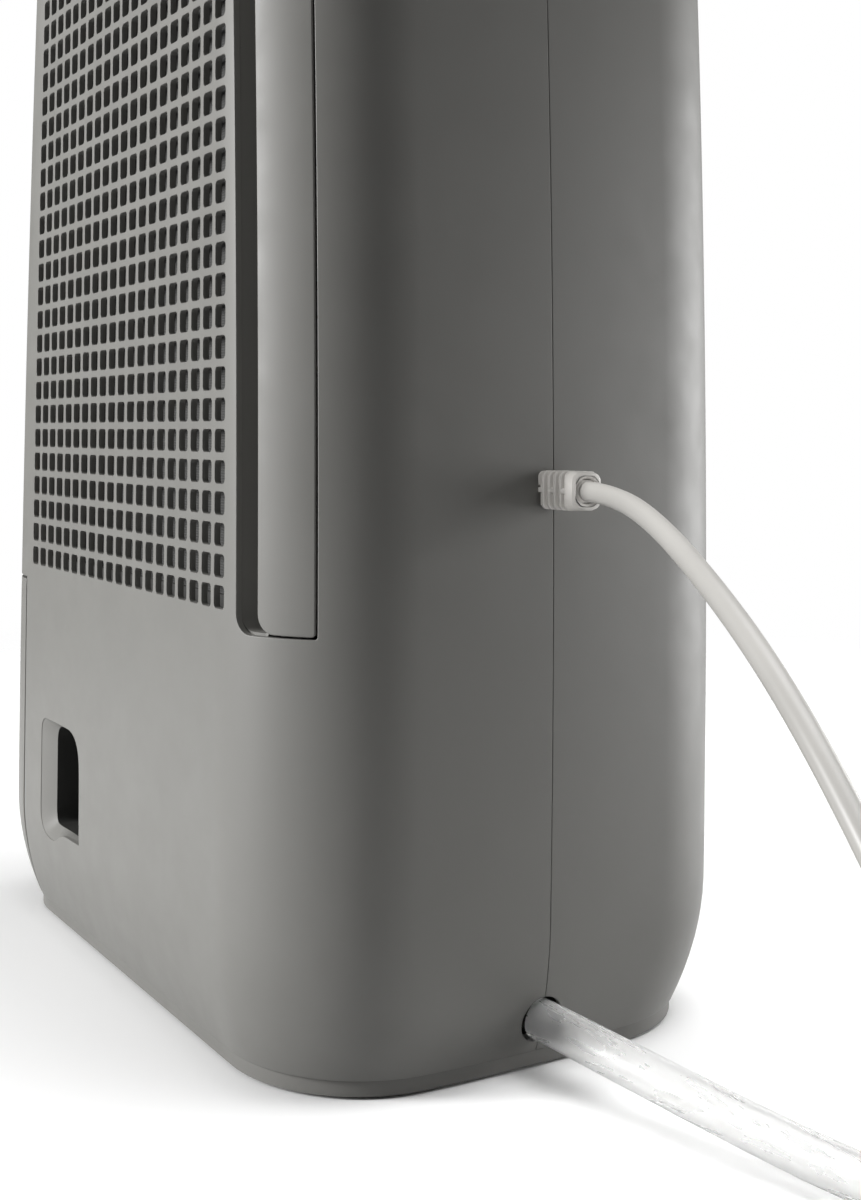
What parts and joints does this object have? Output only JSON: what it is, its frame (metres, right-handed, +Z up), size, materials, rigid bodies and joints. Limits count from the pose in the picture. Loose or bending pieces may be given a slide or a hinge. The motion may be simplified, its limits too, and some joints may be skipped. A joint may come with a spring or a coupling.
{
  "type": "dehumidifier",
  "caption": "Slim upright compressor dehumidifier with a rear intake grille, slide-out air filter and water tank, mains cord and clear drain hose.",
  "frame": {"origin": "on the floor under the middle of the case, cord and hose left out", "axes": "+Z up, +X towards the side the tank slides out of, +Y towards the air intake face"},
  "size_m": [0.6445, 0.3103, 0.5086],
  "materials": {
    "case": "fine-grained warm light grey moulding",
    "plinth": "grey moulding",
    "rubber": "black rubber",
    "steel": "zinc-plated steel",
    "panel": "smooth dark panel",
    "window": "smoked display window",
    "button": "satin button",
    "board": "lacquered circuit board",
    "dark_plastic": "dark grey moulding",
    "mesh": "woven nylon mesh",
    "tank": "milky translucent moulding",
    "white_plastic": "plain white moulding",
    "fins": "thin fin sheet",
    "copper": "drawn copper",
    "black_paint": "black enamel",
    "aluminium": "drawn can",
    "grey_rubber": "light grey soft moulding",
    "cord": "light grey cord sheath",
    "clear_hose": "clear soft hose"
  },
  "bodies": {
    "case": {"rear_shell": "case", "front_shell": "case", "base_tray": "plinth", "rubber_feet": "rubber", "case_screws": "steel", "top_cover": "case", "control_panel": "panel", "display_window": "window", "control_board": "board", "outlet_louvre": "dark_plastic", "evaporator_fins": "fins", "evaporator_tube": "copper", "condenser_fins": "fins", "condenser_tube": "copper", "compressor": "black_paint", "compressor_base": "steel", "compressor_grommets": "rubber", "terminal_cover": "dark_plastic", "accumulator": "copper", "discharge_pipe": "copper", "suction_pipe": "copper", "filter_drier": "copper", "fan_housing": "white_plastic", "fan_inlet_plate": "white_plastic", "fan_motor": "steel", "motor_bracket": "steel", "drip_tray": "white_plastic", "drain_pipe": "rubber", "drain_spigot": "dark_plastic", "partition": "white_plastic", "run_capacitor": "aluminium", "humidity_sensor": "white_plastic", "tank_switch": "dark_plastic", "strain_relief": "grey_rubber", "power_cord": "cord", "cord_coil": "cord", "cord_tie": "dark_plastic", "power_cord_end": "cord", "plug_body": "cord", "plug_pins": "steel", "drain_hose": "clear_hose"},
    "filter": {"filter_frame": "dark_plastic", "filter_mesh": "mesh", "filter_grip": "case"},
    "tank": {"water_tank": "tank", "tank_lid": "white_plastic", "tank_front_panel": "case", "float_bracket": "white_plastic"},
    "tank_float": {"float": "white_plastic"},
    "flap": {"outlet_flap": "case"},
    "handle": {"carry_handle": "dark_plastic"},
    "fan": {"fan_impeller": "dark_plastic", "motor_shaft": "steel"},
    "key_power": {"button_power": "button"},
    "key_fan": {"button_fan": "button"},
    "key_humidity": {"button_humidity": "button"},
    "key_timer": {"button_timer": "button"}
  },
  "joints": [
    {"name": "filter_slide", "type": "slide", "parent": "case", "child": "filter", "axis": [-1, 0, 0], "range_m": [0, 0.2]},
    {"name": "tank_slide", "type": "slide", "parent": "case", "child": "tank", "axis": [1, 0, 0], "range_m": [0, 0.17]},
    {"name": "float_pivot", "type": "hinge", "parent": "tank", "child": "tank_float", "pos_m": [0.118, 0.06, 0.12], "axis": [0, 1, 0], "range_deg": [0, 20]},
    {"name": "flap_hinge", "type": "hinge", "parent": "case", "child": "flap", "pos_m": [0, 0.025, 0.5054], "axis": [-1, 0, 0], "range_deg": [0, 80]},
    {"name": "handle_hinge", "type": "hinge", "parent": "case", "child": "handle", "pos_m": [0, 0, 0.503], "axis": [1, 0, 0], "range_deg": [0, 90]},
    {"name": "fan_spin", "type": "hinge", "parent": "case", "child": "fan", "pos_m": [0, 0, 0.33], "axis": [0, 1, 0], "continuous": true},
    {"name": "press_power", "type": "slide", "parent": "case", "child": "key_power", "axis": [0, 0, -1], "range_m": [0, 0.0008], "stiffness_N_per_m": 300},
    {"name": "press_fan", "type": "slide", "parent": "case", "child": "key_fan", "axis": [0, 0, -1], "range_m": [0, 0.0008], "stiffness_N_per_m": 300},
    {"name": "press_humidity", "type": "slide", "parent": "case", "child": "key_humidity", "axis": [0, 0, -1], "range_m": [0, 0.0008], "stiffness_N_per_m": 300},
    {"name": "press_timer", "type": "slide", "parent": "case", "child": "key_timer", "axis": [0, 0, -1], "range_m": [0, 0.0008], "stiffness_N_per_m": 300}
  ]
}
